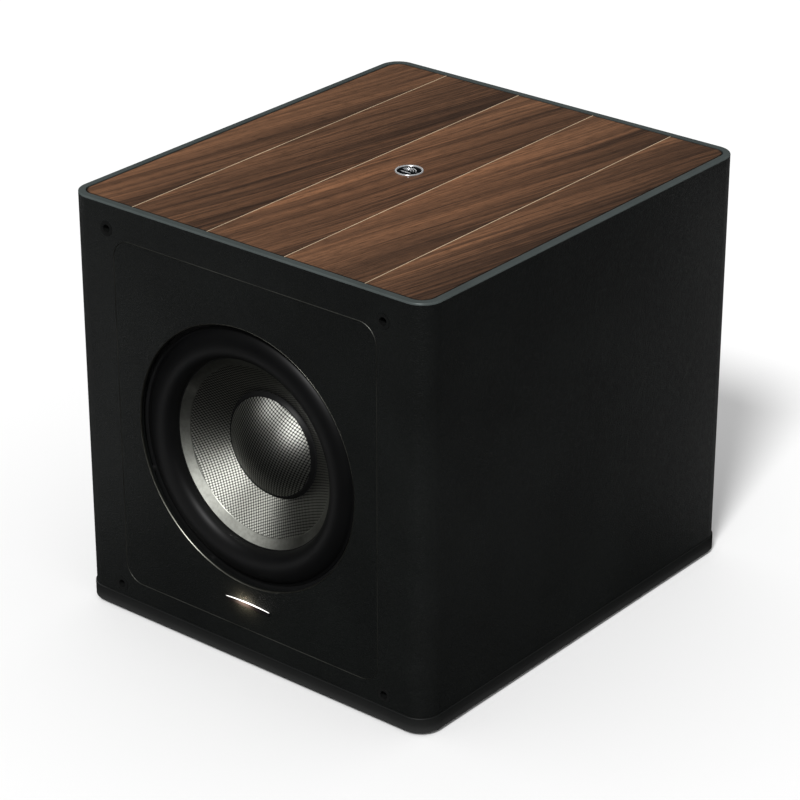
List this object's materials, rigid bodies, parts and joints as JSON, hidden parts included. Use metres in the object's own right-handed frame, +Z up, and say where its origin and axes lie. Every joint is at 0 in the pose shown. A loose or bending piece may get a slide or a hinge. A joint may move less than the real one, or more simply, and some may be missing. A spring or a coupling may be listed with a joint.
{
  "type": "subwoofer",
  "caption": "Powered subwoofer: leather-wrapped square cabinet with an inlaid walnut top, a front woven-cone driver, grille sockets, a light bar and a rear amplifier panel.",
  "frame": {"origin": "on the floor under the middle of the cabinet", "axes": "+Z up, the driver faces -Y, +X is to the right of someone facing the driver"},
  "size_m": [0.3924, 0.4404, 0.3945],
  "materials": {
    "plinth_paint": "satin black lacquer over board",
    "rubber": "satin",
    "steel": "zinc plated",
    "mdf": "raw fibreboard",
    "felt": "polyester wadding",
    "leather": "fine pebbled grain, satin",
    "rim_paint": "satin dark grey",
    "walnut": "oiled dark walnut, straight grain",
    "inlay_wood": "pale maple line",
    "chrome": "polished",
    "enamel": "glossy black enamel",
    "bar_body": "dark gloss",
    "lens": "frosted clear, lit warm white",
    "socket_plastic": "black moulded",
    "cast_frame": "black powder coat on cast aluminium",
    "woven_cone": "woven glass-fibre composite, satin",
    "cone_band": "smooth satin grey",
    "former": "thin foil",
    "copper": "enamelled copper wire",
    "spider_cloth": "resin-stiffened cloth",
    "motor_steel": "black passivated steel",
    "ferrite": "sintered ferrite",
    "switch_plastic": "black moulded",
    "amp_panel": "black anodised, brushed",
    "sink": "black anodised extrusion",
    "knob": "soft-touch black",
    "pot_metal": "stamped",
    "slider_plastic": "pale grey moulded",
    "nickel": "nickel plated",
    "rca_core": "red and white moulded",
    "inlet_plastic": "black moulded",
    "rocker_plastic": "black gloss",
    "pin_brass": "tin-plated brass",
    "led_plastic": "green tinted, unlit",
    "board": "green solder mask",
    "can": "sleeved can",
    "winding_tape": "taped toroid"
  },
  "bodies": {
    "cabinet": {"base_plinth": "plinth_paint", "rubber_feet": "rubber", "foot_screws": "steel", "left_side_panel": "mdf", "right_side_panel": "mdf", "bottom_board": "mdf", "top_board": "mdf", "front_baffle": "mdf", "back_panel": "mdf", "internal_brace": "mdf", "damping_felt": "felt", "leather_wrap": "leather", "top_trim_frame": "rim_paint", "veneer_carrier": "mdf", "walnut_planks": "walnut", "inlay_strips": "inlay_wood", "badge_ring": "chrome", "badge_disc": "enamel", "badge_motif": "chrome", "front_panel": "leather", "light_bar": "bar_body", "light_lens": "lens", "grille_sockets": "socket_plastic", "driver_basket": "cast_frame", "driver_gasket": "rubber", "driver_screws": "steel", "surround": "rubber", "spider": "spider_cloth", "top_plate": "motor_steel", "magnet": "ferrite", "back_plate_pole": "motor_steel", "magnet_boot": "rubber", "terminal_block": "switch_plastic", "amp_plate": "amp_panel", "amp_gasket": "rubber", "amp_screws": "steel", "heat_sink": "sink", "potentiometers": "pot_metal", "switch_bodies": "switch_plastic", "rca_shells": "nickel", "rca_insulators": "rca_core", "mains_inlet": "inlet_plastic", "rocker_bezel": "inlet_plastic", "inlet_pins": "pin_brass", "status_led": "led_plastic", "amp_board": "board", "capacitors": "can", "transformer": "winding_tape", "transformer_clamp": "steel"},
    "cone_assembly": {"cone": "woven_cone", "cone_edge_band": "cone_band", "dust_cap": "woven_cone", "voice_coil_former": "former", "voice_coil_winding": "copper"},
    "volume_knob": {"volume_knob": "knob"},
    "crossover_knob": {"crossover_knob": "knob"},
    "phase_slider": {"phase_slider": "slider_plastic"},
    "standby_slider": {"standby_slider": "slider_plastic"},
    "power_rocker": {"power_rocker": "rocker_plastic"},
    "fuse_drawer": {"fuse_drawer": "inlet_plastic"}
  },
  "joints": [
    {"name": "cone_travel", "type": "slide", "parent": "cabinet", "child": "cone_assembly", "axis": [0, 1, 0], "range_m": [-0.01, 0.01], "stiffness_N_per_m": 3000, "deforming": ["surround", "spider"]},
    {"name": "volume_turn", "type": "hinge", "parent": "cabinet", "child": "volume_knob", "pos_m": [-0.062, 0.215, 0.212], "axis": [0, 1, 0], "range_deg": [-150, 150]},
    {"name": "crossover_turn", "type": "hinge", "parent": "cabinet", "child": "crossover_knob", "pos_m": [-0.02, 0.215, 0.212], "axis": [0, 1, 0], "range_deg": [-150, 150]},
    {"name": "phase_slide", "type": "slide", "parent": "cabinet", "child": "phase_slider", "axis": [1, 0, 0], "range_m": [0, 0.004]},
    {"name": "standby_slide", "type": "slide", "parent": "cabinet", "child": "standby_slider", "axis": [1, 0, 0], "range_m": [-0.002, 0.002]},
    {"name": "power_rock", "type": "hinge", "parent": "cabinet", "child": "power_rocker", "pos_m": [-0.016, 0.206, 0.112], "axis": [-1, 0, 0], "range_deg": [0, 14]},
    {"name": "fuse_pull", "type": "slide", "parent": "cabinet", "child": "fuse_drawer", "axis": [0, 1, 0], "range_m": [0, 0.018]}
  ]
}
